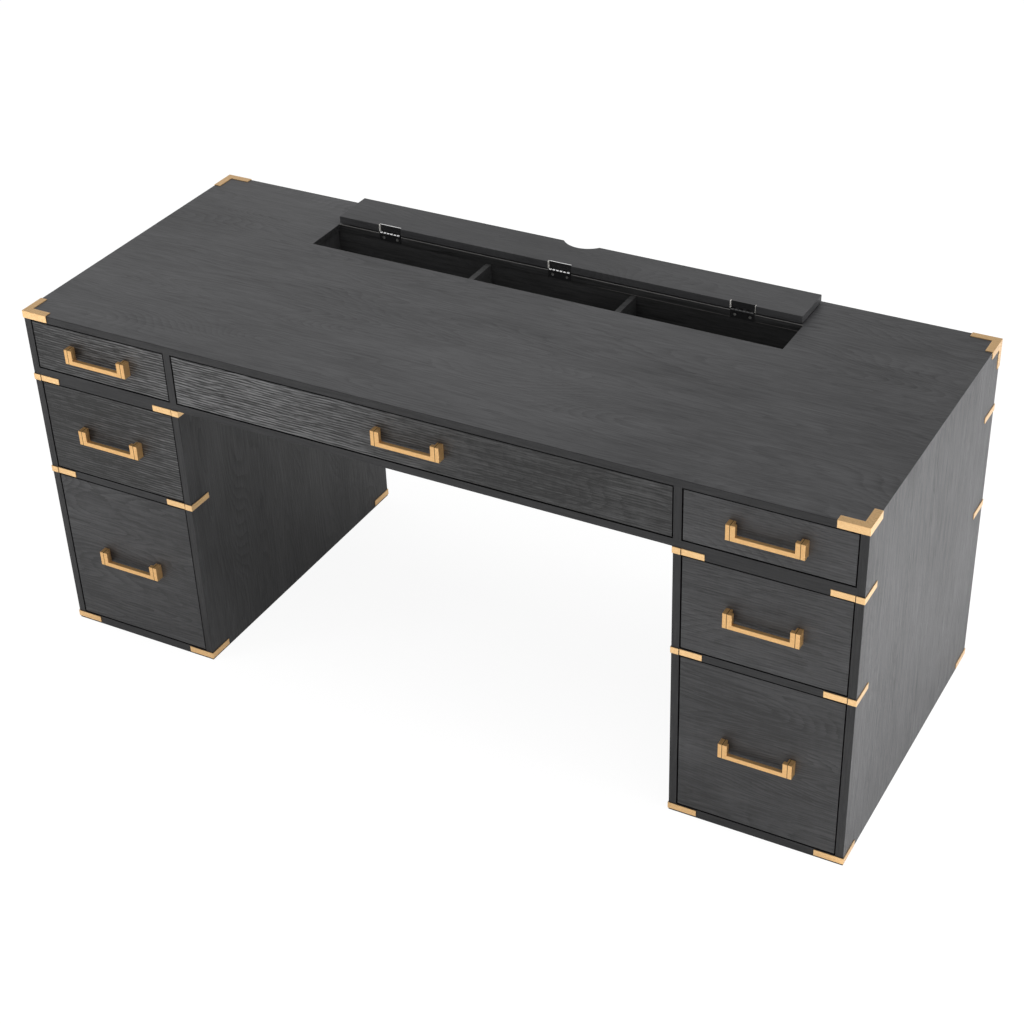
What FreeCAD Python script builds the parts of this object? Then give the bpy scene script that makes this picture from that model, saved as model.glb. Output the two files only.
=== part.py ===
import FreeCAD
import Part

import math
import os

# Double-pedestal writing desk in campaign style, sizes in millimetres.
# The origin is on the floor under the middle of the desk. +X runs to the right as seen by
# someone facing the drawers, +Y to the back and +Z up. The drawers are shut, and the
# lid of the cable compartment is folded back onto the top.

# Case
DESK_WIDTH = 1800.0
DESK_DEPTH = 722.0
DESK_HEIGHT = 764.0
PEDESTAL_WIDTH = 360.0
BOARD = 16.0
PEDESTAL_TOP_BOARD = 14.0
MID_RAIL_BOARD = 16.0
PEDESTAL_BOTTOM_BOARD = 19.0
BACK_BOARD = 12.0
RAIL_SETBACK = 0.5
MID_RAIL_DEPTH = 70.0
BACK_INSET = 3.0
CASE_OPENING = 111.0
MIDDLE_OPENING = 208.5
ARRIS = 0.8

# Cable compartment and its lid
CUTOUT_DEPTH = 105.0
CUTOUT_BEHIND = 110.0
CUTOUT_END_MARGIN = 4.5
COMPARTMENT_BOARD = 12.0
COMPARTMENT_SETBACK = 1.0
BAY_DIVIDER_SPACING = 336.0
BAY_DIVIDER_GAP = 2.0
LID_END_GAP = 2.0
LID_SWING_GAP = 0.4
LID_LIFT = 3.0
NOTCH_WIDTH = 84.0
NOTCH_DEPTH = 20.0

# Butt hinges of the lid
HINGE_SPACING = 407.0
HINGE_WIDTH = 50.0
HINGE_STAND = 0.8
HINGE_END_ROOM = 1.5
LEAF = 2.0
LID_LEAF_SET_IN = 4.0
LEAF_LAND = 0.4
KNUCKLES = 6
KNUCKLE_GAP = 0.3
KNUCKLE_ROOM = 0.3
PIN_RADIUS = 1.2
PIN_CLEARANCE = 0.05
HINGE_SCREW_SPACING = 33.0
HINGE_SCREW_LENGTH = 16.0
HINGE_SCREW_RADIUS = 1.6
HINGE_SCREW_HEAD_RADIUS = 3.2
SCREW_CLEARANCE = 0.05
CROSS_LENGTH = 3.4
CROSS_WIDTH = 0.8
CROSS_DEPTH = 0.7

# Brass brackets, straps and strips
BRASS = 1.5
BRASS_ROUND = 0.6
STRAP_MARGIN = 0.25
STRAP_LEG = 60.0
STRAP_EDGE_GAP = 0.75
FLOOR_STRAP_RAISE = 4.0
STRIP_LENGTH = 45.0
STRIP_GAP = 0.75

# Drawers
DRAWER_FRONT = 18.0
DRAWER_GAP = 2.5
DRAWER_SIDE = 12.0
DRAWER_BOTTOM = 6.0
BOTTOM_GROOVE = 5.0
BOTTOM_RAISE = 10.0
BOX_RAISE = 12.0
BOX_HEADROOM = 20.0
PEDESTAL_BACK_ROOM = 133.0
CENTRE_BACK_ROOM = 21.0
FRONT_ROUND = 1.0

# Drawer slides, a channel on the case and a rail on the drawer
SLIDE_ROOM = 13.0
SLIDE_HEIGHT = 36.0
SLIDE_SHEET = 1.5
SLIDE_PLAY = 0.4
SLIDE_NOSE_GAP = 1.0
SLIDE_RAISE = 14.0
SLIDE_END_GAP = 3.0

# Pulls
PULL_LENGTH = 148.0
PULL_HEIGHT = 32.0
PULL_REACH = 18.0
PULL_END = 18.5
PULL_POST = 12.5
PULL_SEAM = 8.5
PULL_BAR_HEIGHT = 9.5
PULL_BAR_DEPTH = 8.5
PULL_ROUND = 0.8
PULL_GROOVE = 0.7
PULL_SCREW_RADIUS = 2.0
PULL_SCREW_BITE = 12.0
PULL_SCREW_HEAD_RADIUS = 4.0
PULL_SCREW_HEAD_HEIGHT = 2.5

# Places across the desk, all on the right half
X_OUTSIDE = DESK_WIDTH / 2
X_INSIDE = X_OUTSIDE - BOARD
X_KNEE = X_OUTSIDE - PEDESTAL_WIDTH
X_BAY = X_KNEE + BOARD
X_CUT = X_KNEE - CUTOUT_END_MARGIN

# Places from front to back
Y_FRONT = -DESK_DEPTH / 2
Y_REAR = DESK_DEPTH / 2
Y_RAIL = Y_FRONT + RAIL_SETBACK
Y_BOX = Y_RAIL + DRAWER_FRONT
Y_BACK_OUT = Y_REAR - BACK_INSET
Y_BACK_IN = Y_BACK_OUT - BACK_BOARD
Y_CUT_REAR = Y_REAR - CUTOUT_BEHIND
Y_CUT_FRONT = Y_CUT_REAR - CUTOUT_DEPTH
Y_WALL_FRONT = Y_CUT_FRONT - COMPARTMENT_SETBACK
Y_WALL_REAR = Y_CUT_REAR + COMPARTMENT_SETBACK
Y_AXIS = Y_CUT_REAR - HINGE_STAND

# Places up the desk, from the top down
Z_TOP = DESK_HEIGHT
Z_TOP_UNDER = Z_TOP - BOARD
Z_FLOOR_TOP = Z_TOP_UNDER - CASE_OPENING
Z_FLOOR_UNDER = Z_FLOOR_TOP - BOARD
Z_PEDESTAL_UNDER = Z_FLOOR_UNDER - PEDESTAL_TOP_BOARD
Z_MID_TOP = Z_PEDESTAL_UNDER - MIDDLE_OPENING
Z_MID_UNDER = Z_MID_TOP - MID_RAIL_BOARD
Z_BOTTOM_TOP = PEDESTAL_BOTTOM_BOARD
Z_AXIS = Z_TOP + LID_LIFT / 2

STRAP_WIDTH = PEDESTAL_TOP_BOARD - 2 * STRAP_MARGIN
BRACKET_WIDTH = BOARD
KNUCKLE_RADIUS = LEAF + HINGE_STAND - KNUCKLE_ROOM
HINGE_PLACES = (-HINGE_SPACING, 0.0, HINGE_SPACING)

ORIGIN = FreeCAD.Vector(0, 0, 0)
X_DIR = FreeCAD.Vector(1, 0, 0)
Y_DIR = FreeCAD.Vector(0, 1, 0)
Z_DIR = FreeCAD.Vector(0, 0, 1)


def block(x, y, z):
    """A box between pairs of low and high places."""
    low = FreeCAD.Vector(x[0], y[0], z[0])
    return Part.makeBox(x[1] - x[0], y[1] - y[0], z[1] - z[0], low)


def board_across(points, y):
    """A board with the given outline of (x, z) points, from y[0] to y[1]."""
    corners = [FreeCAD.Vector(px, y[0], pz) for px, pz in points]
    outline = Part.makePolygon(corners + corners[:1])
    return Part.Face(outline).extrude(FreeCAD.Vector(0, y[1] - y[0], 0))


def lies_on(edge, axis, place):
    """Whether a whole edge lies in the plane where the axis has that place."""
    return all(abs(getattr(v.Point, axis) - place) < 1e-6 for v in edge.Vertexes)


def rounded(solid, radius, *planes):
    """Round the edges that lie in any two of the (axis, place) planes, or in the one plane given."""
    wanted = min(2, len(planes))
    edges = []
    for edge in solid.Edges:
        if sum(lies_on(edge, axis, place) for axis, place in planes) >= wanted:
            edges.append(edge)
    return solid.makeFillet(radius, edges)


def mirrored_x(solid):
    return solid.mirror(ORIGIN, X_DIR)


def mirrored_y(solid):
    return solid.mirror(ORIGIN, Y_DIR)


def both_halves(solids):
    """The right half's solids and their mirror images on the left."""
    return list(solids) + [mirrored_x(solid) for solid in solids]


def save(node, *solids):
    shape = solids[0] if len(solids) == 1 else Part.makeCompound(list(solids))
    shape.exportStep("parts/" + node + ".step")


def save_pair(node, right):
    save(node + "_right", right)
    save(node + "_left", mirrored_x(right))


def cross_slot(y, direction, x, z):
    """The cross recess of a screw whose head faces out at y, against the given direction."""
    ends = sorted((y, y + direction * CROSS_DEPTH))
    long_way = (-CROSS_LENGTH / 2, CROSS_LENGTH / 2)
    short_way = (-CROSS_WIDTH / 2, CROSS_WIDTH / 2)
    slot = block(long_way, ends, short_way).fuse(block(short_way, ends, long_way))
    slot.translate(FreeCAD.Vector(x, 0, z))
    return slot


# The case boards meet the top in a mitre along both ends.
def desk_top():
    outline = (
        (-X_OUTSIDE, Z_TOP),
        (X_OUTSIDE, Z_TOP),
        (X_INSIDE, Z_TOP_UNDER),
        (-X_INSIDE, Z_TOP_UNDER),
    )
    top = board_across(outline, (Y_FRONT, Y_REAR))
    top = rounded(top, ARRIS, ("y", Y_FRONT), ("z", Z_TOP))
    top = rounded(top, ARRIS, ("y", Y_REAR), ("z", Z_TOP))
    cutout = block((-X_CUT, X_CUT), (Y_CUT_FRONT, Y_CUT_REAR), (Z_TOP_UNDER, Z_TOP))
    top = top.cut(cutout)
    for place in (("y", Y_CUT_FRONT), ("y", Y_CUT_REAR), ("x", -X_CUT), ("x", X_CUT)):
        top = rounded(top, ARRIS, place, ("z", Z_TOP))
    for x in HINGE_PLACES:
        top = top.cut(mortise(x, 0.0, (Z_TOP_UNDER, Z_TOP)))
        for screw_x in hinge_screw_places(x):
            top = top.cut(hinge_screw_hole(screw_x, 0.0, fixed_screw_height()))
    return top


def side_panel():
    outline = (
        (X_INSIDE, 0),
        (X_OUTSIDE, 0),
        (X_OUTSIDE, Z_TOP),
        (X_INSIDE, Z_TOP_UNDER),
    )
    panel = board_across(outline, (Y_FRONT, Y_REAR))
    panel = rounded(panel, ARRIS, ("y", Y_FRONT), ("x", X_OUTSIDE))
    return rounded(panel, ARRIS, ("y", Y_REAR), ("x", X_OUTSIDE))


def pedestal_panel():
    panel = block((X_KNEE, X_BAY), (Y_FRONT, Y_REAR), (0, Z_FLOOR_UNDER))
    panel = rounded(panel, ARRIS, ("y", Y_FRONT), ("x", X_KNEE))
    return rounded(panel, ARRIS, ("y", Y_REAR), ("x", X_KNEE))


def case_boards():
    save("desk_top", desk_top())
    save_pair("side_panel", side_panel())
    save_pair("pedestal_panel", pedestal_panel())
    across = (-X_INSIDE, X_INSIDE)
    in_pedestal = (X_BAY, X_INSIDE)
    case_floor = block(across, (Y_FRONT, Y_BACK_IN), (Z_FLOOR_UNDER, Z_FLOOR_TOP))
    save("case_floor", case_floor)
    save("case_back", block(across, (Y_BACK_IN, Y_BACK_OUT), (Z_FLOOR_UNDER, Z_TOP_UNDER)))
    divider = block((X_KNEE, X_BAY), (Y_FRONT, Y_BACK_IN), (Z_FLOOR_TOP, Z_TOP_UNDER))
    save_pair("case_divider", divider)
    pedestal_top = block(in_pedestal, (Y_RAIL, Y_BACK_IN), (Z_PEDESTAL_UNDER, Z_FLOOR_UNDER))
    save_pair("pedestal_top", pedestal_top)
    mid_rail = block(in_pedestal, (Y_RAIL, Y_RAIL + MID_RAIL_DEPTH), (Z_MID_UNDER, Z_MID_TOP))
    save_pair("mid_rail", mid_rail)
    save_pair("pedestal_bottom", block(in_pedestal, (Y_FRONT, Y_BACK_IN), (0, Z_BOTTOM_TOP)))
    save_pair("pedestal_back", block(in_pedestal, (Y_BACK_IN, Y_BACK_OUT), (0, Z_FLOOR_UNDER)))


# The cable compartment hangs between the case dividers behind the centre drawer.
def compartment():
    between = (-X_KNEE, X_KNEE)
    tall = (Z_FLOOR_TOP, Z_TOP_UNDER)
    front = block(between, (Y_WALL_FRONT - COMPARTMENT_BOARD, Y_WALL_FRONT), tall)
    rear = block(between, (Y_WALL_REAR, Y_WALL_REAR + COMPARTMENT_BOARD), tall)
    save("compartment_front_wall", front)
    save("compartment_rear_wall", rear)
    centre = BAY_DIVIDER_SPACING / 2
    thick = (centre - COMPARTMENT_BOARD / 2, centre + COMPARTMENT_BOARD / 2)
    low_top = (Z_FLOOR_TOP, Z_TOP_UNDER - BAY_DIVIDER_GAP)
    divider = block(thick, (Y_WALL_FRONT, Y_WALL_REAR), low_top)
    save("bay_dividers", *both_halves([divider]))


def mortise(x, set_in, z):
    """The housing for a leaf that lies set_in behind the edge of its board."""
    half = HINGE_WIDTH / 2 + HINGE_END_ROOM
    return block((x - half, x + half), (Y_CUT_REAR, Y_CUT_REAR + set_in + LEAF), z)


def hinge_screw_places(x):
    return (x - HINGE_SCREW_SPACING / 2, x + HINGE_SCREW_SPACING / 2)


def leaf_top():
    """Height of the fixed leaf's sheet, just under the turning knuckles."""
    return Z_AXIS - KNUCKLE_RADIUS - KNUCKLE_ROOM


def fixed_screw_height():
    return (Z_TOP_UNDER + leaf_top()) / 2


def turned_over(z):
    """The height that mirrors z in the level of the hinge pin."""
    return 2 * Z_AXIS - z


def countersunk(x, set_in, z, grown):
    """A countersunk screw along +Y, head flush with the leaf, grown all round by a clearance."""
    head = HINGE_SCREW_HEAD_RADIUS + grown
    shank = HINGE_SCREW_RADIUS + grown
    place = FreeCAD.Vector(x, Y_CUT_REAR + set_in, z)
    cone = Part.makeCone(head, shank, LEAF - LEAF_LAND, place, Y_DIR)
    return cone.fuse(Part.makeCylinder(shank, HINGE_SCREW_LENGTH + grown, place, Y_DIR)).removeSplitter()


def hinge_screw_hole(x, set_in, z):
    return countersunk(x, set_in, z, SCREW_CLEARANCE)


def hinge_screw(x, set_in, z):
    return countersunk(x, set_in, z, 0.0).cut(cross_slot(Y_CUT_REAR + set_in, 1, x, z))


def leaf(x, own_knuckles, set_in, sheet_z, tab_z, screw_z):
    """One leaf: a screwed sheet with tabs that carry its own knuckles round the pin."""
    back = Y_CUT_REAR + set_in + LEAF
    half = HINGE_WIDTH / 2
    plate = block((x - half, x + half), (back - LEAF, back), sheet_z)
    pitch = (HINGE_WIDTH + KNUCKLE_GAP) / KNUCKLES
    bore = PIN_RADIUS + PIN_CLEARANCE
    for index in own_knuckles:
        start = x - half + index * pitch
        end = start + pitch - KNUCKLE_GAP
        centre = FreeCAD.Vector(start, Y_AXIS, Z_AXIS)
        plate = plate.fuse(block((start, end), (Y_CUT_REAR, back), tab_z))
        plate = plate.fuse(Part.makeCylinder(KNUCKLE_RADIUS, end - start, centre, X_DIR))
    axis_start = FreeCAD.Vector(x - half, Y_AXIS, Z_AXIS)
    plate = plate.cut(Part.makeCylinder(bore, HINGE_WIDTH, axis_start, X_DIR))
    for screw_x in hinge_screw_places(x):
        plate = plate.cut(hinge_screw_hole(screw_x, set_in, screw_z))
    return plate.removeSplitter()


def hinges():
    fixed_sheet = (Z_TOP_UNDER, leaf_top())
    fixed_tab = (leaf_top(), Z_AXIS)
    lid_sheet = (turned_over(leaf_top()), turned_over(Z_TOP_UNDER))
    lid_tab = (Z_AXIS, turned_over(leaf_top()))
    low_screw = fixed_screw_height()
    high_screw = turned_over(low_screw)
    even = range(0, KNUCKLES, 2)
    odd = range(1, KNUCKLES, 2)
    fixed_leaves = []
    lid_leaves = []
    pins = []
    screws = []
    lid_screws = []
    for x in HINGE_PLACES:
        start = FreeCAD.Vector(x - HINGE_WIDTH / 2, Y_AXIS, Z_AXIS)
        pins.append(Part.makeCylinder(PIN_RADIUS, HINGE_WIDTH, start, X_DIR))
        fixed_leaves.append(leaf(x, even, 0.0, fixed_sheet, fixed_tab, low_screw))
        lid_leaves.append(leaf(x, odd, LID_LEAF_SET_IN, lid_sheet, lid_tab, high_screw))
        for screw_x in hinge_screw_places(x):
            screws.append(hinge_screw(screw_x, 0.0, low_screw))
            lid_screws.append(hinge_screw(screw_x, LID_LEAF_SET_IN, high_screw))
    save("hinge_leaves", *fixed_leaves)
    save("lid_leaves", *lid_leaves)
    save("hinge_pins", *pins)
    save("hinge_screws", *screws)
    save("lid_screws", *lid_screws)


# The lower arris of the lid's free edge swings past the front of the cut-out as it shuts,
# so the lid is as long as that circle allows.
def lid_depth():
    swing = Y_AXIS - Y_CUT_FRONT - LID_SWING_GAP
    reach = math.sqrt(swing ** 2 - (BOARD + LID_LIFT / 2) ** 2)
    return reach - HINGE_STAND


def lid():
    half = X_CUT - LID_END_GAP
    y = (Y_CUT_REAR, Y_CUT_REAR + lid_depth())
    z = (Z_TOP + LID_LIFT, Z_TOP + LID_LIFT + BOARD)
    panel = block((-half, half), y, z)
    panel = panel.makeFillet(ARRIS, panel.Edges)
    notch_radius = (NOTCH_WIDTH ** 2 / 4 + NOTCH_DEPTH ** 2) / (2 * NOTCH_DEPTH)
    notch_centre = FreeCAD.Vector(0, y[1] - NOTCH_DEPTH + notch_radius, z[0])
    panel = panel.cut(Part.makeCylinder(notch_radius, BOARD, notch_centre, Z_DIR))
    for x in HINGE_PLACES:
        panel = panel.cut(mortise(x, LID_LEAF_SET_IN, z))
        for screw_x in hinge_screw_places(x):
            screw_z = turned_over(fixed_screw_height())
            panel = panel.cut(hinge_screw_hole(screw_x, LID_LEAF_SET_IN, screw_z))
    save("compartment_lid", panel)


# Brass pieces are modelled at a corner whose wood faces +X, -Y and, for the top, +Z.
def corner_strap(front_leg, z):
    side = block((0, BRASS), (-BRASS, STRAP_LEG - BRASS), z)
    front = block((BRASS - front_leg, BRASS), (-BRASS, 0), z)
    strap = side.fuse(front).removeSplitter()
    return rounded(strap, BRASS_ROUND, ("x", BRASS), ("y", -BRASS))


def top_bracket(with_upright):
    leg = (-STRAP_LEG + BRASS, BRASS)
    strap = (-BRACKET_WIDTH + BRASS, BRASS)
    proud = (0, BRASS)
    back_leg = (-BRASS, STRAP_LEG - BRASS)
    back_strap = (-BRASS, BRACKET_WIDTH - BRASS)
    bracket = block(leg, back_strap, proud)
    bracket = bracket.fuse(block(strap, back_leg, proud))
    bracket = bracket.fuse(block(leg, (-BRASS, 0), strap))
    bracket = bracket.fuse(block(proud, back_leg, strap))
    if with_upright:
        bracket = bracket.fuse(block(proud, back_strap, leg))
    bracket = bracket.removeSplitter()
    return rounded(bracket, BRASS_ROUND, ("x", BRASS), ("y", -BRASS), ("z", BRASS))


def placed(solid, x, y, z):
    moved = solid.copy()
    moved.translate(FreeCAD.Vector(x, y, z))
    return moved


def panel_corners(front_leg, z, front):
    """One strap on each upright board of the right half, at its front or rear edge."""
    strap = corner_strap(front_leg, z)
    edge = Y_FRONT if front else Y_REAR
    if not front:
        strap = mirrored_y(strap)
    return [placed(strap, X_OUTSIDE, edge, 0), placed(mirrored_x(strap), X_KNEE, edge, 0)]


def rail_strips(z):
    """Two strips on a rail of the right pedestal, one at each end."""
    y = (Y_RAIL - BRASS, Y_RAIL)
    inner = X_BAY + STRIP_GAP
    outer = X_INSIDE - STRIP_GAP
    strips = []
    for x in ((inner, inner + STRIP_LENGTH), (outer - STRIP_LENGTH, outer)):
        strips.append(rounded(block(x, y, z), BRASS_ROUND, ("y", Y_RAIL - BRASS)))
    return strips


def strap_heights(middle):
    return (middle - STRAP_WIDTH / 2, middle + STRAP_WIDTH / 2)


def brass():
    front = placed(top_bracket(False), X_OUTSIDE, Y_FRONT, Z_TOP)
    rear = placed(mirrored_y(top_bracket(True)), X_OUTSIDE, Y_REAR, Z_TOP)
    save("top_corner_brackets", *both_halves([front, rear]))
    on_top_rail = strap_heights((Z_PEDESTAL_UNDER + Z_FLOOR_UNDER) / 2)
    on_mid_rail = strap_heights((Z_MID_UNDER + Z_MID_TOP) / 2)
    on_floor = (FLOOR_STRAP_RAISE, FLOOR_STRAP_RAISE + STRAP_WIDTH)
    on_edge = BOARD + BRASS - STRAP_EDGE_GAP
    stile_straps = []
    strips = []
    rear_straps = panel_corners(on_edge, on_floor, False)
    for z in (on_top_rail, on_mid_rail):
        stile_straps += panel_corners(on_edge, z, True)
        rear_straps += panel_corners(on_edge, z, False)
        strips += rail_strips(z)
    save("stile_straps", *both_halves(stile_straps))
    save("rail_strips", *both_halves(strips))
    save("floor_straps", *both_halves(panel_corners(STRAP_LEG, on_floor, True)))
    save("rear_straps", *both_halves(rear_straps))


# A pull is a flat bail on two posts, with a groove round each end of the bail.
def pull_outline():
    half = PULL_LENGTH / 2
    inner = half - PULL_END
    top = PULL_HEIGHT / 2
    bar_top = PULL_BAR_HEIGHT - PULL_HEIGHT / 2
    return (
        (-half, top),
        (-half, -top),
        (half, -top),
        (half, top),
        (inner, top),
        (inner, bar_top),
        (-inner, bar_top),
        (-inner, top),
    )


def pull_post_places():
    centre = (PULL_LENGTH - PULL_POST) / 2
    return (-centre, centre)


def pull():
    """A pull with its foot at the origin's plane, reaching out towards -Y."""
    half = PULL_LENGTH / 2
    tall = (-PULL_HEIGHT / 2, PULL_HEIGHT / 2)
    bail_back = PULL_BAR_DEPTH - PULL_REACH
    body = board_across(pull_outline(), (-PULL_REACH, bail_back))
    for x in pull_post_places():
        post = (x - PULL_POST / 2, x + PULL_POST / 2)
        body = body.fuse(block(post, (bail_back, 0), tall))
    body = rounded(body.removeSplitter(), PULL_ROUND, ("y", -PULL_REACH))
    for side in (-1, 1):
        seam = side * (half - PULL_SEAM)
        slot = (seam - PULL_GROOVE / 2, seam + PULL_GROOVE / 2)
        groove_back = (-PULL_REACH, PULL_GROOVE - PULL_REACH)
        body = body.cut(block(slot, groove_back, tall))
        for end in (-1, 1):
            z = sorted((end * PULL_HEIGHT / 2, end * (PULL_HEIGHT / 2 - PULL_GROOVE)))
            body = body.cut(block(slot, (-PULL_REACH, bail_back), z))
    for x in pull_post_places():
        hole_start = FreeCAD.Vector(x, -PULL_SCREW_BITE - SCREW_CLEARANCE, 0)
        hole_radius = PULL_SCREW_RADIUS + SCREW_CLEARANCE
        body = body.cut(Part.makeCylinder(hole_radius, PULL_SCREW_BITE + SCREW_CLEARANCE, hole_start, Y_DIR))
    return body


def pull_screw(x):
    """A pan-head screw from the inside of the drawer front into a post of the pull."""
    start = FreeCAD.Vector(x, -PULL_SCREW_BITE, 0)
    shank = Part.makeCylinder(PULL_SCREW_RADIUS, PULL_SCREW_BITE + DRAWER_FRONT, start, Y_DIR)
    head_start = FreeCAD.Vector(x, DRAWER_FRONT, 0)
    head = Part.makeCylinder(PULL_SCREW_HEAD_RADIUS, PULL_SCREW_HEAD_HEIGHT, head_start, Y_DIR)
    head_end = DRAWER_FRONT + PULL_SCREW_HEAD_HEIGHT
    return shank.fuse(head).removeSplitter().cut(cross_slot(head_end, -1, x, 0))


def drawer_front(x, z):
    """A front with a rounded face, filling the opening x by z but for the gap all round."""
    wide = (x[0] + DRAWER_GAP, x[1] - DRAWER_GAP)
    tall = (z[0] + DRAWER_GAP, z[1] - DRAWER_GAP)
    front = rounded(block(wide, (Y_RAIL, Y_BOX), tall), FRONT_ROUND, ("y", Y_RAIL))
    for post_x in pull_post_places():
        start = FreeCAD.Vector(sum(x) / 2 + post_x, Y_RAIL, sum(z) / 2)
        front = front.cut(Part.makeCylinder(PULL_SCREW_RADIUS + SCREW_CLEARANCE, DRAWER_FRONT, start, Y_DIR))
    return front


def drawer_box(x, y, z):
    """Two sides grooved for the bottom, a back that stands on the bottom, and the bottom."""
    inner = (x[0] + DRAWER_SIDE, x[1] - DRAWER_SIDE)
    bottom_z = (z[0] + BOTTOM_RAISE, z[0] + BOTTOM_RAISE + DRAWER_BOTTOM)
    bottom = block((inner[0] - BOTTOM_GROOVE, inner[1] + BOTTOM_GROOVE), y, bottom_z)
    left = block((x[0], inner[0]), y, z).cut(bottom)
    right = block((inner[1], x[1]), y, z).cut(bottom)
    back = block(inner, (y[1] - DRAWER_SIDE, y[1]), (bottom_z[1], z[1]))
    return [left, right, back, bottom]


def slide_channel(wall_x, inward, y, z):
    """The fixed half of a slide: a channel screwed to the case board, open towards the drawer."""
    depth = SLIDE_ROOM - SLIDE_SHEET - SLIDE_NOSE_GAP
    outer = sorted((wall_x, wall_x + inward * depth))
    hollow = sorted((wall_x + inward * SLIDE_SHEET, wall_x + inward * depth))
    hollow_z = (z[0] + SLIDE_SHEET, z[1] - SLIDE_SHEET)
    return block(outer, y, z).cut(block(hollow, y, hollow_z))


def slide_rail(wall_x, inward, y, z):
    """The moving half of a slide: a smaller channel on the drawer side, nested in the fixed one."""
    inset = SLIDE_SHEET + SLIDE_PLAY
    tall = (z[0] + inset, z[1] - inset)
    nose = wall_x + inward * inset
    foot = wall_x + inward * SLIDE_ROOM
    web = foot - inward * SLIDE_SHEET
    hollow_z = (tall[0] + SLIDE_SHEET, tall[1] - SLIDE_SHEET)
    return block(sorted((nose, foot)), y, tall).cut(block(sorted((nose, web)), y, hollow_z))


def drawer(name, x, z, y_stop):
    """Save a drawer that fills the opening x by z and ends at y_stop; return its fixed channels."""
    box_x = (x[0] + SLIDE_ROOM, x[1] - SLIDE_ROOM)
    box_z = (z[0] + BOX_RAISE, z[1] - BOX_HEADROOM)
    slide_low = box_z[0] + SLIDE_RAISE
    slide_z = (slide_low, slide_low + SLIDE_HEIGHT)
    slide_y = (Y_BOX + SLIDE_END_GAP, y_stop)
    save("drawer_front_" + name, drawer_front(x, z))
    save("drawer_box_" + name, *drawer_box(box_x, (Y_BOX, y_stop), box_z))
    pull_pieces = [pull()] + [pull_screw(post_x) for post_x in pull_post_places()]
    save("pull_" + name, *[placed(piece, sum(x) / 2, Y_RAIL, sum(z) / 2) for piece in pull_pieces])
    walls = ((x[0], 1), (x[1], -1))
    save("slide_rails_" + name, *[slide_rail(wall, way, slide_y, slide_z) for wall, way in walls])
    return [slide_channel(wall, way, slide_y, slide_z) for wall, way in walls]


def drawers():
    pedestal_stop = Y_BACK_IN - PEDESTAL_BACK_ROOM
    centre_stop = Y_WALL_FRONT - COMPARTMENT_BOARD - CENTRE_BACK_ROOM
    case_z = (Z_FLOOR_TOP, Z_TOP_UNDER)
    rows = (
        ("top", case_z),
        ("middle", (Z_MID_TOP, Z_PEDESTAL_UNDER)),
        ("file", (Z_BOTTOM_TOP, Z_MID_UNDER)),
    )
    channels = drawer("top_centre", (-X_KNEE, X_KNEE), case_z, centre_stop)
    for row, z in rows:
        channels += drawer(row + "_right", (X_BAY, X_INSIDE), z, pedestal_stop)
        channels += drawer(row + "_left", (-X_INSIDE, -X_BAY), z, pedestal_stop)
    save("slide_channels", *channels)


os.makedirs("parts", exist_ok=True)
case_boards()
compartment()
hinges()
lid()
brass()
drawers()
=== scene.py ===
import math

import bmesh
import bpy
from mathutils import Matrix, Vector

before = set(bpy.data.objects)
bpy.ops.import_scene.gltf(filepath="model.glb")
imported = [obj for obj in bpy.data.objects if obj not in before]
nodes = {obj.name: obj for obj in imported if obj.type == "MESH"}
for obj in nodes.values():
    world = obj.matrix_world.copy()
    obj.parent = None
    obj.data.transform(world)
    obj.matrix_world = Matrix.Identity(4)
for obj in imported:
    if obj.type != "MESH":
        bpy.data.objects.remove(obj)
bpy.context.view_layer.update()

# The desk top is one wide board of black-stained oak veneer, with the grain running its length.
# A long slot is sawn through it over the cable compartment, and its ends are mitred to the sides.
# Its front and rear edges carry a smooth, darker edge band.
MM = 0.001
DESK_DEPTH = 0.722
TOP_HEIGHT = 0.764
TOP_UNDER = 0.748
SLOT_FRONT = 0.146
SLOT_REAR = 0.251
SLOT_HALF = 0.5355
RUBBED_RIGHT_OF = 0.05
STAIN_DARK = (0.020, 0.020, 0.021, 1)
STAIN_PALE = (0.078, 0.078, 0.081, 1)
EDGE_BAND_DARK = (0.002, 0.002, 0.003, 1)
EDGE_BAND_PALE = (0.016, 0.016, 0.017, 1)
SAWN_DARK = (0.007, 0.007, 0.007, 1)
SAWN_PALE = (0.048, 0.048, 0.049, 1)
ARRIS_GLINT_AND_BARE_WOOD = (0.16, 0.155, 0.15, 1)


def join(material, value, socket):
    """Link a value to a socket, or set it there if it is plain."""
    if isinstance(value, bpy.types.NodeSocket):
        material.node_tree.links.new(value, socket)
    else:
        socket.default_value = value


def add(material, kind, inputs=None, **settings):
    """Add one shader node, with its settings and its sockets' values or links."""
    node = material.node_tree.nodes.new(kind)
    for field, value in settings.items():
        setattr(node, field, value)
    for socket, value in (inputs or {}).items():
        join(material, value, node.inputs[socket])
    return node


def blank_material(name):
    """A new material with an output and nothing else, and the socket its surface goes to."""
    material = bpy.data.materials.new(name)
    material.use_nodes = True
    material.node_tree.nodes.clear()
    return material, add(material, "ShaderNodeOutputMaterial").inputs["Surface"]


def object_place(material):
    """The object coordinates, whole and split into X, Y and Z."""
    place = add(material, "ShaderNodeTexCoord").outputs["Object"]
    return place, add(material, "ShaderNodeSeparateXYZ", {0: place}).outputs


def math_node(material, operation, first, second=0.0, third=0.0):
    """One step of arithmetic on up to three values."""
    inputs = {0: first, 1: second, 2: third}
    return add(material, "ShaderNodeMath", inputs, operation=operation).outputs[0]


def times(material, first, *others):
    """The product of two or more values."""
    for other in others:
        first = math_node(material, "MULTIPLY", first, other)
    return first


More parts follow.
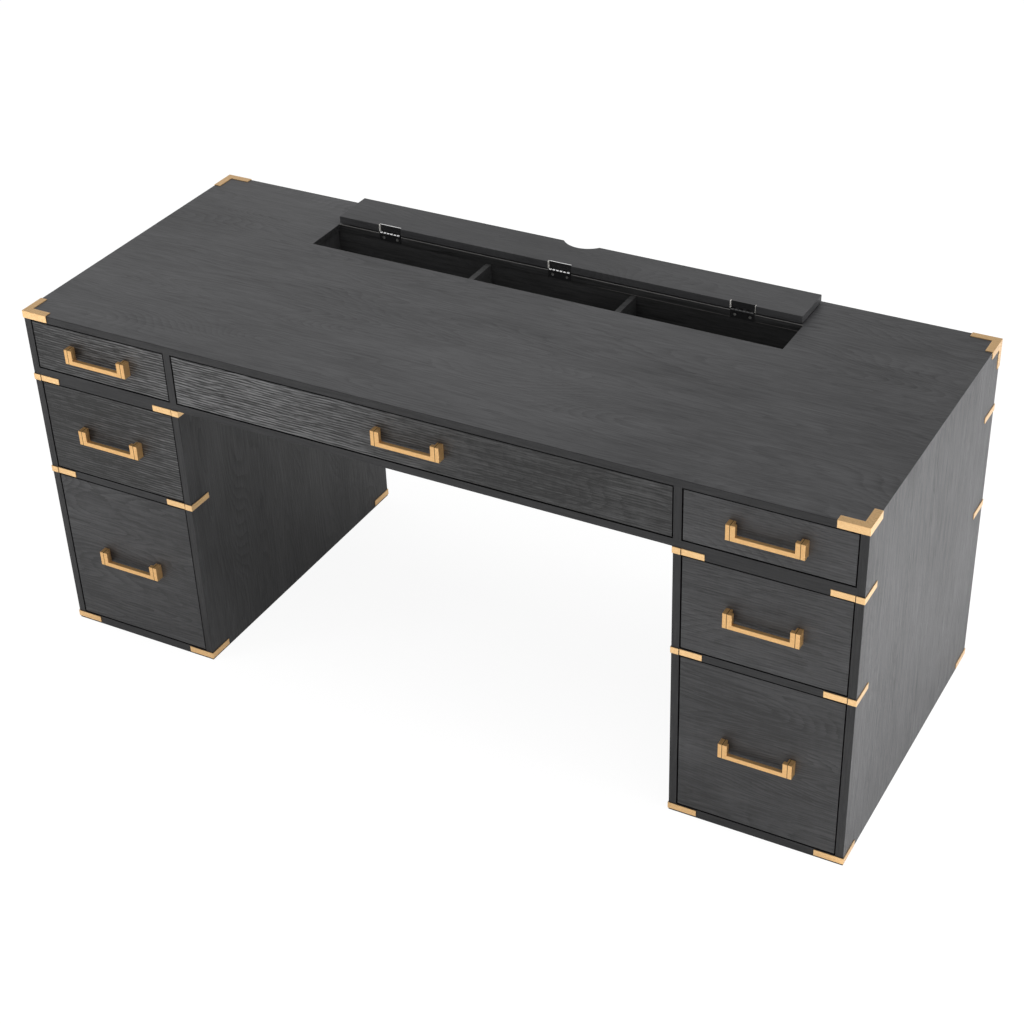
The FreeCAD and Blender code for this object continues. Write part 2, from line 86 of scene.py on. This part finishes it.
def laid_on(material, ground, mark, strength):
    """A ground with a mark added to it at some strength."""
    return math_node(material, "MULTIPLY_ADD", mark, strength, ground)


def ramp(material, value, low, high, low_out=0.0, high_out=1.0):
    """Map a value from low..high to low_out..high_out, held at the ends."""
    inputs = {
        "Value": value, "From Min": low, "From Max": high, "To Min": low_out, "To Max": high_out,
    }
    return add(material, "ShaderNodeMapRange", inputs).outputs["Result"]


def between(material, value, low, high, soft=0.2 * MM):
    """1 where the value lies between low and high, falling to 0 over the soft width outside."""
    rise = ramp(material, value, low - soft, low)
    fall = ramp(material, value, high, high + soft, 1.0, 0.0)
    return times(material, rise, fall)


def two_tones(material, value, dark, pale, low=0.0, high=1.0):
    """A colour that runs from dark to pale as the value goes from low to high."""
    node = add(material, "ShaderNodeValToRGB", {"Fac": value})
    first, last = node.color_ramp.elements
    first.position = low
    first.color = dark
    last.position = high
    last.color = pale
    return node.outputs["Color"]


def blend_colours(material, factor, first, second):
    """The first colour where the factor is 0, and the second where it is 1."""
    node = add(material, "ShaderNodeMix", data_type="RGBA")
    values = {"Factor_Float": factor, "A_Color": first, "B_Color": second}
    for socket in node.inputs:
        if socket.identifier in values:
            join(material, values[socket.identifier], socket)
    return next(socket for socket in node.outputs if socket.identifier == "Result_Color")


def grain_noise(material, place, along, size, shift, detail, wander=0.0):
    """Noise drawn out along the grain, in spots of about that length and width, in metres."""
    length, width = size
    scale = [1 / width] * 3
    scale["XYZ".index(along)] = 1 / length
    inputs = {"Vector": place, "Location": shift, "Scale": scale}
    drawn_out = add(material, "ShaderNodeMapping", inputs).outputs[0]
    inputs = {
        "Vector": drawn_out, "Scale": 1.0, "Detail": detail, "Roughness": 0.6, "Distortion": wander,
    }
    return add(material, "ShaderNodeTexNoise", inputs).outputs["Fac"]


# Marks in the veneer: length along the grain and width across it in metres, how finely they are
# broken up, how far they wander, and the half of the noise's range that shows, less being sharper.
PATCHES = ((0.42, 0.13), 3.0, 0.6, 0.25)
FIBRES = ((0.13, 0.005), 3.0, 0.7, 0.25)
LINES = ((0.05, 0.0035), 2.0, 0.5, 0.22)


def marks(material, place, along, shift, kind):
    """Marks of one kind, from -1 to 1 about a mean of 0."""
    size, detail, wander, reach = kind
    noise = grain_noise(material, place, along, size, shift, detail, wander)
    return ramp(material, noise, 0.5 - reach, 0.5 + reach, -1, 1)


def patchy(material, place, along, size, shift, least, most):
    """A strength that changes from place to place between least and most."""
    noise = grain_noise(material, place, along, size, shift, 2.0)
    return ramp(material, noise, 0.35, 0.6, least, most)


RING_PITCH = 0.014
RING_BEND = 44.0
RING_RAGGED = 0.7
RING_SHARPNESS = 1.8
RING_MEAN = 0.36


def ring_lines(material, place, axes, along, shift):
    """Growth rings as flat-sawn veneer shows them: pale bands with a thin dark edge, mostly
    straight, that bend into long arches here and there. The mean is 0."""
    first, second = (axes[letter] for letter in "XYZ" if letter != along)
    across = math_node(material, "ADD", first, second)
    heart = grain_noise(material, place, along, (0.70, 0.14), shift, 1.0, 0.3)
    ragged = grain_noise(material, place, along, (0.04, 0.004), shift, 2.0)
    count = laid_on(material, times(material, heart, RING_BEND), across, 1 / RING_PITCH)
    count = laid_on(material, count, ragged, RING_RAGGED)
    within_ring = math_node(material, "FRACT", count)
    dark_edge = math_node(material, "POWER", within_ring, RING_SHARPNESS)
    shown = patchy(material, place, along, (0.25, 0.06), shift, 0.3, 1.3)
    return times(material, math_node(material, "SUBTRACT", RING_MEAN, dark_edge), shown)


PORE_SIZE = (0.016, 0.0016)
PORE_TONE = -0.12
PORE_HEIGHT = -0.5
RELIEF_HEIGHT = 0.4 * MM
DARK_ROUGHNESS = 0.56
PALE_ROUGHNESS = 0.44


def black_oak(
    name, along, shift, dark, pale, cloud, streak, brush, relief,
    middle=0.5, rings=0.0, rays=None, ray_strength=0.0, rows=None, painted_light_fade=None, over=(),
):
    """Open-pored oak veneer under a black stain that runs from dark to pale about a middle tone.

    along is the axis of the grain, and shift moves the figure, so that no two boards are alike.
    cloud, streak and brush say how strongly the broad patches, the long fibres and the short brushed
    lines show, rings how strongly the growth rings do, and relief how far the grain stands out.
    rays are short marks upright across level grain, with their own strength.
    rows is a function that joins wire-brushed rows to the lines.
    The fade of painted light gives the place along X where the stain is painted palest and the one
    where it is plain, how much paler it gets, and the share of the lines that is left where it is
    plain.
    over holds functions that lay other colours over the stain, one after the other.
    """
    material, surface = blank_material(name)
    place, axes = object_place(material)
    patches = marks(material, place, along, shift, PATCHES)
    fibres = marks(material, place, along, shift, FIBRES)
    lines = marks(material, place, along, shift, LINES)
    pores = grain_noise(material, place, along, PORE_SIZE, shift, 1.0)
    pores = ramp(material, pores, 0.58, 0.70)
    if rows:
        lines = rows(material, place, axes, shift, lines)
    # Painted light: the stain is painted paler along X towards one side, and the lines show less
    # away from it.
    if painted_light_fade:
        palest, plain, light_lift, lines_left = painted_light_fade
        light_fade = ramp(material, axes["X"], palest, plain, 1.0, 0.0)
        lines = times(material, lines, ramp(material, light_fade, 0.0, 1.0, lines_left, 1.0))

    tone = laid_on(material, middle, patches, cloud)
    tone = laid_on(material, tone, fibres, streak)
    if rings:
        tone = laid_on(material, tone, ring_lines(material, place, axes, along, shift), rings)
    if rays:
        tone = laid_on(material, tone, marks(material, place, "Z", shift, rays), ray_strength)
    tone = laid_on(material, tone, lines, brush)
    tone = laid_on(material, tone, pores, PORE_TONE)
    if painted_light_fade:
        tone = laid_on(material, tone, light_fade, light_lift)

    colour = two_tones(material, tone, dark, pale)
    for lay_over in over:
        colour = lay_over(material, axes, fibres, lines, colour)
    height = laid_on(material, math_node(material, "ADD", lines, fibres), pores, PORE_HEIGHT)
    bump = add(material, "ShaderNodeBump", {
        "Height": height, "Strength": relief, "Distance": RELIEF_HEIGHT,
    })
    shader = add(material, "ShaderNodeBsdfPrincipled", {
        "Base Color": colour,
        "Roughness": ramp(material, tone, 0.0, 1.0, DARK_ROUGHNESS, PALE_ROUGHNESS),
        "Normal": bump.outputs["Normal"],
    })
    join(material, shader.outputs[0], surface)
    return material


def finish_with(material, *names):
    """Give whole CAD nodes one finish."""
    for name in names:
        mesh = nodes[name].data
        mesh.materials.clear()
        mesh.materials.append(material)


def edge_band(material, axes, fibres, lines, colour):
    """The smooth band, faintly speckled, that covers a board's edge at the desk's front and rear."""
    speckle = ramp(material, math_node(material, "ADD", fibres, lines), -1.4, 1.4)
    band = two_tones(material, speckle, EDGE_BAND_DARK, EDGE_BAND_PALE)
    depth = math_node(material, "ABSOLUTE", axes["Y"])
    at_edge = ramp(material, depth, DESK_DEPTH / 2 - 1.1 * MM, DESK_DEPTH / 2 - 0.6 * MM)
    return blend_colours(material, at_edge, colour, band)


def sawn_slot(material, axes, fibres, lines, colour):
    """The slot's sawn faces are darker than the top. A pale line is painted along their rear arris,
    as a highlight where it catches the light, and in places along the lower edge on the right the
    stain is rubbed thin to bare wood."""
    across = math_node(material, "ABSOLUTE", axes["X"])
    in_length = ramp(material, across, SLOT_HALF, SLOT_HALF + 1.0 * MM, 1.0, 0.0)
    in_depth = between(material, axes["Y"], SLOT_FRONT - 0.2 * MM, SLOT_REAR + 0.2 * MM)
    below = ramp(material, axes["Z"], TOP_HEIGHT - 0.8 * MM, TOP_HEIGHT - 0.4 * MM, 1.0, 0.0)
    sawn_stain = two_tones(material, ramp(material, fibres, -0.7, 1.0), SAWN_DARK, SAWN_PALE)
    sawn = times(material, in_length, in_depth, below)
    colour = blend_colours(material, sawn, colour, sawn_stain)

    # A painted highlight along the rear arris, and bare wood on the lower edge at the right.
    at_rear = between(material, axes["Y"], SLOT_REAR - 1.0 * MM, SLOT_REAR + 0.6 * MM, 0.3 * MM)
    arris_glint = ramp(material, axes["Z"], TOP_HEIGHT - 1.6 * MM, TOP_HEIGHT - 0.8 * MM)
    lower = ramp(material, axes["Z"], TOP_UNDER + 0.6 * MM, TOP_UNDER + 1.4 * MM, 1.0, 0.0)
    on_right = ramp(material, axes["X"], RUBBED_RIGHT_OF, RUBBED_RIGHT_OF + 30 * MM)
    in_places = ramp(material, fibres, -0.5, 0.1, 0.2, 1.0)
    lower = times(material, lower, on_right, in_places)
    glint_and_bare = times(material, at_rear, math_node(material, "MAXIMUM", arris_glint, lower), in_length)
    return blend_colours(material, glint_and_bare, colour, ARRIS_GLINT_AND_BARE_WOOD)


# The top's stain is painted paler over its left and middle, fading out towards the right end, as
# light from the left.
finish_with(
    black_oak(
        "oak_top_painted_light", "X", (1.31, 0.62, 0.0), STAIN_DARK, STAIN_PALE,
        cloud=0.20, streak=0.16, brush=0.14, relief=0.06, middle=0.37, rings=0.22,
        painted_light_fade=(0.15, 0.75, 0.2, 1.0), over=(edge_band, sawn_slot),
    ),
    "desk_top",
)

# The lid is a strip of the same veneered board, folded back onto the top with its underside up.
# A shallow arc is sawn out of its free edge for cables, and three housings are cut for the hinges.
# The housings' left walls, and the right wall of the last one, are bare wood.
HINGE_PLACES = (-0.407, 0.0, 0.407)
HOUSING_HALF = 0.0265
HOUSING_REAR = 0.257
BARE_WOOD = (0.72, 0.70, 0.66, 1)


def bare_housing_walls(material, axes, fibres, lines, colour):
    """Unstained wood on the walls of the hinge housings that the stain missed."""
    right = HINGE_PLACES[-1] + HOUSING_HALF
    walls = between(material, axes["X"], right, right + 0.8 * MM)
    for x in HINGE_PLACES:
        left = x - HOUSING_HALF
        wall = between(material, axes["X"], left - 0.8 * MM, left + 0.3 * MM)
        walls = math_node(material, "MAXIMUM", walls, wall)
    in_housing = ramp(material, axes["Y"], HOUSING_REAR, HOUSING_REAR + 0.5 * MM, 1.0, 0.0)
    return blend_colours(material, times(material, walls, in_housing), colour, BARE_WOOD)


finish_with(
    black_oak(
        "oak_lid", "X", (3.7, 1.9, 0.4), STAIN_DARK, STAIN_PALE,
        cloud=0.15, streak=0.10, brush=0.08, relief=0.06, middle=0.4, rings=0.15,
        over=(edge_band, bare_housing_walls),
    ),
    "compartment_lid",
)

# The side panels are boards of the same veneer that stand upright, mitred and glued to the top,
# so their grain runs from the floor to the top in fine wavy lines.
# Their inner faces are painted black just behind the front, as the shade in the drawers' gaps.
SIDE_INNER_FACE = 0.8845
GAP_SHADE_BLACK = (0.002, 0.002, 0.002, 1)
GAP_SHADE_FRONT = -DESK_DEPTH / 2 + 1.2 * MM
GAP_SHADE_DEPTH = 15 * MM


def shaded_gaps(nearest, farthest):
    """Painted black shade on a board's faces beside the drawers' gaps, which lie from the nearest to
    the farthest distance off the desk's middle plane."""

    def lay_gap_shade(material, axes, fibres, lines, colour):
        off_middle = math_node(material, "ABSOLUTE", axes["X"])
        beside = between(material, off_middle, nearest, farthest)
        behind = between(material, axes["Y"], GAP_SHADE_FRONT, GAP_SHADE_FRONT + GAP_SHADE_DEPTH, 0.4 * MM)
        return blend_colours(material, times(material, beside, behind), colour, GAP_SHADE_BLACK)

    return lay_gap_shade


for index, name in enumerate(("side_panel_left", "side_panel_right")):
    side_oak = black_oak(
        "oak_" + name, "Z", (0.7 * index, 1.3 * index, 0.4 * index), STAIN_DARK, STAIN_PALE,
        cloud=0.15, streak=0.32, brush=0.15, relief=0.35, rings=0.18,
        over=(edge_band, shaded_gaps(0.0, SIDE_INNER_FACE)),
    )
    finish_with(side_oak, name)

# The inner panels of the pedestals and the pedestal backs are upright veneered boards too, their
# stain painted darker, as the shade under the desk. The panels are screwed up into the floor of the
# drawer case, and the backs are let in between them and the sides. Their faces beside the drawers'
# gaps are painted black, as shade.
DESK_HALF = 0.9
KNEEHOLE_FACE = 0.5555
INNER_SHADED_DARK = (0.010, 0.010, 0.011, 1)
INNER_SHADED_PALE = (0.038, 0.038, 0.039, 1)
INNER_PANELS = (
    "pedestal_panel_left", "pedestal_panel_right", "pedestal_back_left", "pedestal_back_right",
)
for index, name in enumerate(INNER_PANELS):
    shift = (0.9 * index + 2.0, 1.1 * index, 0.7 * index)
    inner_oak = black_oak(
        "oak_" + name, "Z", shift, INNER_SHADED_DARK, INNER_SHADED_PALE,
        cloud=0.40, streak=0.20, brush=0.12, relief=0.25, rings=0.34,
        over=(edge_band, shaded_gaps(KNEEHOLE_FACE, DESK_HALF)),
    )
    finish_with(inner_oak, name)

# The drawer case is a floor, two dividers and a back under the top, glued between the panels,
# and each pedestal has a top board, a middle rail and a bottom board.
# All are veneered boards, with lengthwise grain except on the dividers.
# Their faces just behind the drawers' gaps are painted black, as shade.
RAILS = (
    "case_floor", "case_back", "pedestal_top_left", "pedestal_top_right",
    "mid_rail_left", "mid_rail_right", "pedestal_bottom_left", "pedestal_bottom_right",
)
DIVIDERS = ("case_divider_left", "case_divider_right")
for group, along, shift in (
    (RAILS, "X", (5.2, 0.8, 2.1)),
    (DIVIDERS, "Z", (2.2, 3.1, 0.6)),
):
    board_oak = black_oak(
        "oak_" + group[0], along, shift, STAIN_DARK, STAIN_PALE,
        cloud=0.15, streak=0.2, brush=0.1, relief=0.10,
        over=(edge_band, shaded_gaps(0.0, DESK_HALF)),
    )
    finish_with(board_oak, *group)

# The cable compartment is lined with thin stained boards and split into three bays.
# Their stain is painted darker than the top's, as the shade inside the compartment, and is more
# even;
# it is painted paler towards the left bay, as light reaching it.
COMPARTMENT_SHADED_DARK = (0.004, 0.004, 0.004, 1)
COMPARTMENT_SHADED_PALE = (0.07, 0.07, 0.071, 1)
finish_with(
    black_oak(
        "oak_compartment_shaded", "X", (1.2, 6.1, 0.9), COMPARTMENT_SHADED_DARK, COMPARTMENT_SHADED_PALE,
        cloud=0.15, streak=0.22, brush=0.12, relief=0.10, middle=0.34, rings=0.12,
        painted_light_fade=(-0.30, 0.20, 0.30, 1.0),
    ),
    "compartment_front_wall", "compartment_rear_wall", "bay_dividers",
)

# Each drawer has a front of wire-brushed veneer with level grain, screwed to a box of dark boards.
# The brushing is painted palest and strongest on the top left and middle left drawers and on the
# left half of the centre drawer, as light from the left picks it out, and the two file drawers show
# the plain figure of the wood instead. The lower drawers' stain is painted darker, as shade towards
# the floor, and their faces beside the gaps are painted black, as shade.
DRAWERS = (
    "top_left", "top_centre", "top_right", "middle_left", "middle_right", "file_left", "file_right",
)
RAYS = ((0.035, 0.012), 2.0, 0.5, 0.20)
ROW_PITCH = 0.0056
ROW_SHARE = 0.8
LINE_SHARE = 0.7
BRUSHED_FACE = -0.356
INSIDE_SHARE = 0.15
PLAIN_STAIN = dict(dark=STAIN_DARK, pale=STAIN_PALE)
# A paler stain on the brushed fronts, painted light where glancing light picks out the brushing.
BRUSHED_LIT_STAIN = dict(dark=(0.010, 0.010, 0.010, 1), pale=(0.185, 0.185, 0.188, 1))


def wire_brushed(waviness):
    """Level rows of raised grain on a front's face, which wander up and down by some radians and
    break into dashes."""

    def join_rows(material, place, axes, shift, lines):
        wander = grain_noise(material, place, "X", (0.12, 0.03), shift, 2.0)
        wander = times(material, wander, waviness)
        phase = laid_on(material, wander, axes["Z"], 2 * math.pi / ROW_PITCH)
        dashes = patchy(material, place, "X", (0.03, 0.005), shift, 0.15, 1.0)
        rows = times(material, math_node(material, "SINE", phase), dashes)
        brushed = laid_on(material, times(material, rows, ROW_SHARE), lines, LINE_SHARE)
        on_face = ramp(material, axes["Y"], BRUSHED_FACE, BRUSHED_FACE + 2 * MM, 1.0, INSIDE_SHARE)
        return times(material, brushed, on_face)

    return join_rows


FRONT_FINISH = {
    "top_left": dict(
        BRUSHED_LIT_STAIN, middle=0.09, cloud=0.10, streak=0.2, brush=0.67, relief=0.8,
        rings=0.04, ray_strength=0.03, rows=wire_brushed(8.0), painted_light_fade=(-0.66, -0.86, 0.16, 0.45),
    ),
    "top_centre": dict(
        BRUSHED_LIT_STAIN, middle=0.12, cloud=0.10, streak=0.2, brush=0.75, relief=0.7,
        rings=0.10, ray_strength=0.03, rows=wire_brushed(9.0), painted_light_fade=(-0.30, 0.10, 0.28, 0.12),
    ),
    "top_right": dict(
        PLAIN_STAIN, middle=0.52, cloud=0.2, streak=0.25, brush=0.20, relief=0.4,
        rings=0.26, ray_strength=0.05, rows=wire_brushed(12.0),
    ),
    "middle_left": dict(
        BRUSHED_LIT_STAIN, middle=0.05, cloud=0.10, streak=0.15, brush=0.40, relief=0.6,
        rings=0.04, ray_strength=0.03, rows=wire_brushed(7.0), painted_light_fade=(-0.58, -0.84, 0.08, 0.3),
    ),
    "middle_right": dict(
        PLAIN_STAIN, middle=0.42, cloud=0.2, streak=0.25, brush=0.18, relief=0.4,
        rings=0.26, ray_strength=0.05, rows=wire_brushed(14.0),
    ),
    "file_left": dict(
        PLAIN_STAIN, middle=0.17, cloud=0.3, streak=0.18, brush=0.16, relief=0.3,
        rings=0.32, ray_strength=0.04,
    ),
    "file_right": dict(
        PLAIN_STAIN, middle=0.21, cloud=0.3, streak=0.18, brush=0.16, relief=0.3,
        rings=0.32, ray_strength=0.04,
    ),
}
box_oak = black_oak(
    "drawer_box_oak", "Y", (0.5, 2.5, 4.5), STAIN_DARK, STAIN_PALE,
    cloud=0.2, streak=0.2, brush=0.1, relief=0.1,
)
for index, name in enumerate(DRAWERS):
    front_oak = black_oak(
        "oak_front_" + name, "X", (1.7 * index, 0.9 * index, 0.53 * index),
        rays=RAYS, over=(shaded_gaps(0.0, DESK_HALF),), **FRONT_FINISH[name],
    )
    finish_with(front_oak, "drawer_front_" + name)
    finish_with(box_oak, "drawer_box_" + name)

# Pulls, corner brackets, straps and strips are satin brass, brushed lengthwise and lacquered.
# The flat pieces are folded plate with eased arrises. The pulls are bars screwed on from inside
# the drawers, with a dark line of painted shade in the seams where their posts begin.
PULL_PLACE = 0.720
PULL_SEAM = 0.0655
SEAM_HALF = 0.45 * MM
SEAM_SHADE = (0.05, 0.03, 0.012, 1)
BRUSHING_SIZE = (0.012, 0.0004)
BRUSHING_HEIGHT = 0.2 * MM
STAIN_SIZE = (0.006, 0.003)
PLATE_BRASS = dict(
    dark=(0.84, 0.53, 0.25, 1), pale=(0.94, 0.63, 0.32, 1), glance=(1, 1, 1, 1),
    metallic=1.0, roughness=0.25, easing=1.5 * MM,
)
BAR_BRASS = dict(
    dark=(0.78, 0.47, 0.20, 1), pale=(0.88, 0.56, 0.26, 1), glance=(0.95, 0.62, 0.30, 1),
    metallic=0.8, roughness=0.42, easing=0.8 * MM,
)


def from_middle(material, across, outer_place):
    """How far a place is from the middle of the nearest of three like pieces, which stand at 0 and
    at outer_place to either side."""
    away = math_node(material, "ABSOLUTE", across)
    outer = math_node(material, "GREATER_THAN", away, 0.5 * outer_place)
    return laid_on(material, away, outer, -outer_place)


def satin_brass(name, dark, pale, glance, metallic, roughness, easing, seam_shaded):
    """Brass with faint stains and fine brushing; glance is the tint of its reflection, and easing
    the radius of its arrises. Pulls with seam shade have a dark line of painted shade where each
    post begins."""
    material, surface = blank_material(name)
    place, axes = object_place(material)
    brushing = grain_noise(material, place, "X", BRUSHING_SIZE, (0, 0, 0), 2.0)
    stains = grain_noise(material, place, "X", STAIN_SIZE, (1, 2, 3), 3.0)
    colour = two_tones(material, stains, dark, pale, 0.3, 0.7)
    # A dark line of painted shade in each seam of the pulls.
    if seam_shaded:
        off_middle = math_node(material, "ABSOLUTE", from_middle(material, axes["X"], PULL_PLACE))
        seam_shade = between(material, off_middle, PULL_SEAM - SEAM_HALF, PULL_SEAM + SEAM_HALF)
        colour = blend_colours(material, seam_shade, colour, SEAM_SHADE)
    eased = add(material, "ShaderNodeBevel", {"Radius": easing}, samples=4).outputs["Normal"]
    bump = add(material, "ShaderNodeBump", {
        "Height": brushing, "Strength": 0.10, "Distance": BRUSHING_HEIGHT, "Normal": eased,
    })
    shader = add(material, "ShaderNodeBsdfPrincipled", {
        "Base Color": colour,
        "Metallic": metallic,
        "Specular Tint": glance,
        "Roughness": ramp(material, brushing, 0.3, 0.7, roughness, roughness + 0.1),
        "Normal": bump.outputs["Normal"],
    })
    join(material, shader.outputs[0], surface)
    return material


finish_with(
    satin_brass("satin_brass", seam_shaded=False, **PLATE_BRASS),
    "top_corner_brackets", "stile_straps", "rail_strips", "floor_straps", "rear_straps",
)
pull_brass = satin_brass("satin_brass_pull_seam_shade", seam_shaded=True, **BAR_BRASS)
for name in DRAWERS:
    finish_with(pull_brass, "pull_" + name)

# The lid hangs on three butt hinges of black-plated steel, held by countersunk screws.
# Bright steel is painted as highlights on the tops of the knuckles and along the upper edge of two
# lid leaves, where the plating is bare; the right hinge gets hardly any.
# The drawer slides and the screws in the top are zinc-plated.
KNUCKLE_LOW = 0.7668
KNUCKLE_HIGH = 0.7682
KNUCKLE_LENGTH = 0.050 / 6
KNUCKLE_FRONT = 0.2508
LEAF_EDGE = 0.7824
GLINT_LEFT_OF = 0.2
GLINT_STEEL = (0.82, 0.82, 0.82, 1)
BLACK_PLATE = (0.02, 0.02, 0.021)
BLACK_SCREW = (0.025, 0.025, 0.026)
ZINC_PLATE = (0.62, 0.62, 0.60)
MOTTLE_SIZE = (0.006, 0.003)


def painted_hinge_glints(material, axes, colour):
    """Painted highlights of bright steel on the knuckles' tops, between their joints, and on the lid
    leaves' bare upper edges. The right hinge, which catches less light, gets hardly any."""
    on_knuckle = between(material, axes["Z"], KNUCKLE_LOW, KNUCKLE_HIGH)
    in_front = ramp(material, axes["Y"], KNUCKLE_FRONT, KNUCKLE_FRONT + 0.3 * MM, 1.0, 0.0)
    on_hinge = from_middle(material, axes["X"], HINGE_PLACES[-1])
    to_joint = math_node(material, "PINGPONG", on_hinge, 0.5 * KNUCKLE_LENGTH)
    off_joint = ramp(material, to_joint, 1.1 * MM, 1.6 * MM)
    on_knuckle = times(material, on_knuckle, in_front, off_joint)
    on_edge = ramp(material, axes["Z"], LEAF_EDGE, LEAF_EDGE + 0.3 * MM)
    glint_hinge = ramp(material, axes["X"], GLINT_LEFT_OF, GLINT_LEFT_OF + 10 * MM, 1.0, 0.06)
    glints = times(material, math_node(material, "MAXIMUM", on_knuckle, on_edge), glint_hinge)
    return blend_colours(material, glints, colour, GLINT_STEEL)


def plated_steel(name, plate, metallic, roughness, glint_and_bare=False):
    """Steel under a faintly mottled plating."""
    material, surface = blank_material(name)
    place, axes = object_place(material)
    mottle = grain_noise(material, place, "X", MOTTLE_SIZE, (0, 0, 0), 3.0)
    shaded = tuple(0.8 * channel for channel in plate)
    colour = two_tones(material, mottle, shaded + (1,), plate + (1,))
    # Painted highlights of bright steel on the hinges' knuckles and leaf edges.
    if glint_and_bare:
        colour = painted_hinge_glints(material, axes, colour)
    shader = add(material, "ShaderNodeBsdfPrincipled", {
        "Base Color": colour,
        "Metallic": metallic,
        "Roughness": ramp(material, mottle, 0.3, 0.7, roughness, roughness + 0.1),
    })
    join(material, shader.outputs[0], surface)
    return material


black_plate_with_glints = plated_steel("black_plate_with_glints", BLACK_PLATE, 0.2, 0.4, glint_and_bare=True)
finish_with(black_plate_with_glints, "hinge_leaves", "lid_leaves")
black_screw = plated_steel("black_screw", BLACK_SCREW, 0.2, 0.4)
finish_with(black_screw, "hinge_pins", "lid_screws")
zinc = plated_steel("zinc_plate", ZINC_PLATE, 0.9, 0.35)
finish_with(zinc, "hinge_screws", "slide_channels")
for name in DRAWERS:
    finish_with(zinc, "slide_rails_" + name)

# The studio has a white floor that keeps the desk's shadow, white walls and a dimmer ceiling.
# Light bounces off a plain lit floor; gloss sees it whiter, and the camera sees its shadow faintly.
# A large soft lamp hangs overhead, and two smaller ones stand low, on the left and on the right.
FLOOR_HALF = 20.0
WHITE = (1, 1, 1, 1)
FLOOR_FOR_LIGHT = (0.85, 0.14)
FLOOR_IN_GLOSS = (0.78, 0.24)
FLOOR_IN_VIEW = (0.14, 0.92)
CEILING_FROM = 0.1
CEILING_FULL = 0.52
CEILING_LIGHT = 0.45
FILL = 0.35
floor_mesh = bpy.data.meshes.new("studio_floor")
shape = bmesh.new()
bmesh.ops.create_grid(shape, x_segments=1, y_segments=1, size=FLOOR_HALF)
shape.to_mesh(floor_mesh)
shape.free()
floor = bpy.data.objects.new("studio_floor", floor_mesh)
bpy.context.scene.collection.objects.link(floor)


def mirror_rays(material, rays):
    """1 for the rays by which gloss and glass see their surroundings."""
    return math_node(material, "MAXIMUM", rays["Is Glossy Ray"], rays["Is Transmission Ray"])


def lit_floor(material, reflected, glowing):
    """A white floor, part lit and part glowing: the more it glows, the fainter the shadow on it."""
    pale = (reflected, reflected, reflected, 1)
    lit = add(material, "ShaderNodeBsdfDiffuse", {"Color": pale}).outputs[0]
    glow = add(material, "ShaderNodeEmission", {"Color": WHITE, "Strength": glowing}).outputs[0]
    return add(material, "ShaderNodeAddShader", {0: lit, 1: glow}).outputs[0]


floor_white, floor_surface = blank_material("studio_floor")
rays = add(floor_white, "ShaderNodeLightPath").outputs
bounced = add(floor_white, "ShaderNodeMixShader", {
    0: mirror_rays(floor_white, rays),
    1: lit_floor(floor_white, *FLOOR_FOR_LIGHT),
    2: lit_floor(floor_white, *FLOOR_IN_GLOSS),
})
shown = add(floor_white, "ShaderNodeMixShader", {
    0: rays["Is Camera Ray"],
    1: bounced.outputs[0],
    2: lit_floor(floor_white, *FLOOR_IN_VIEW),
})
join(floor_white, shown.outputs[0], floor_surface)
floor_mesh.materials.append(floor_white)

world = bpy.data.worlds.new("studio")
world.use_nodes = True
world.node_tree.nodes.clear()
bpy.context.scene.world = world
rays = add(world, "ShaderNodeLightPath").outputs
direction = add(world, "ShaderNodeTexCoord").outputs["Generated"]
upward = add(world, "ShaderNodeSeparateXYZ", {0: direction}).outputs["Z"]
walls_and_ceiling = ramp(world, upward, CEILING_FROM, CEILING_FULL, 1.0, CEILING_LIGHT)
over_fill = math_node(world, "SUBTRACT", walls_and_ceiling, FILL)
strength = times(world, mirror_rays(world, rays), over_fill)
strength = math_node(world, "ADD", strength, FILL)
strength = math_node(world, "MAXIMUM", strength, rays["Is Camera Ray"])
sky = add(world, "ShaderNodeBackground", {"Color": WHITE, "Strength": strength})
add(world, "ShaderNodeOutputWorld", {"Surface": sky.outputs[0]})


def soft_lamp(name, place, target, width, height, watts):
    """A rectangular lamp that lights the desk and isn't seen itself, also not in the brass."""
    data = bpy.data.lights.new(name, "AREA")
    data.shape = "RECTANGLE"
    data.size = width
    data.size_y = height
    data.energy = watts
    lamp = bpy.data.objects.new(name, data)
    facing = (Vector(target) - Vector(place)).to_track_quat("-Z", "Y")
    lamp.matrix_world = Matrix.Translation(place) @ facing.to_matrix().to_4x4()
    lamp.visible_camera = False
    lamp.visible_glossy = False
    bpy.context.scene.collection.objects.link(lamp)


soft_lamp("overhead_lamp", (0.3, -0.4, 6.0), (0.3, -0.4, 0.0), 8.0, 6.0, 268.0)
soft_lamp("left_lamp", (-2.8, -2.6, 0.8), (0.0, -0.6, 0.35), 0.9, 0.7, 30.0)
soft_lamp("right_lamp", (2.9, 0.1, 0.75), (1.2, 0.0, 0.0), 1.8, 0.9, 50.0)

# The camera stands in front of the desk's right half and looks down at it.
# Its place, turn and lens are those that fit the straight edges of the desk.
CAMERA_PLACE = (1.75426, -3.06137, 2.65508)
PITCH = 0.60884
YAW = 0.49794
ROLL = -0.02649
camera_data = bpy.data.cameras.new("camera")
camera_data.sensor_width = 36.0
camera_data.lens = 71.05689
camera_data.shift_x = -0.03462
camera_data.shift_y = 0.04744
camera_data.clip_end = 200.0
camera = bpy.data.objects.new("camera", camera_data)
camera.matrix_world = (
    Matrix.Translation(CAMERA_PLACE)
    @ Matrix.Rotation(YAW, 4, "Z")
    @ Matrix.Rotation(math.pi / 2 - PITCH, 4, "X")
    @ Matrix.Rotation(ROLL, 4, "Z")
)
bpy.context.scene.collection.objects.link(camera)
bpy.context.scene.camera = camera
bpy.context.scene.view_settings.view_transform = "Standard"
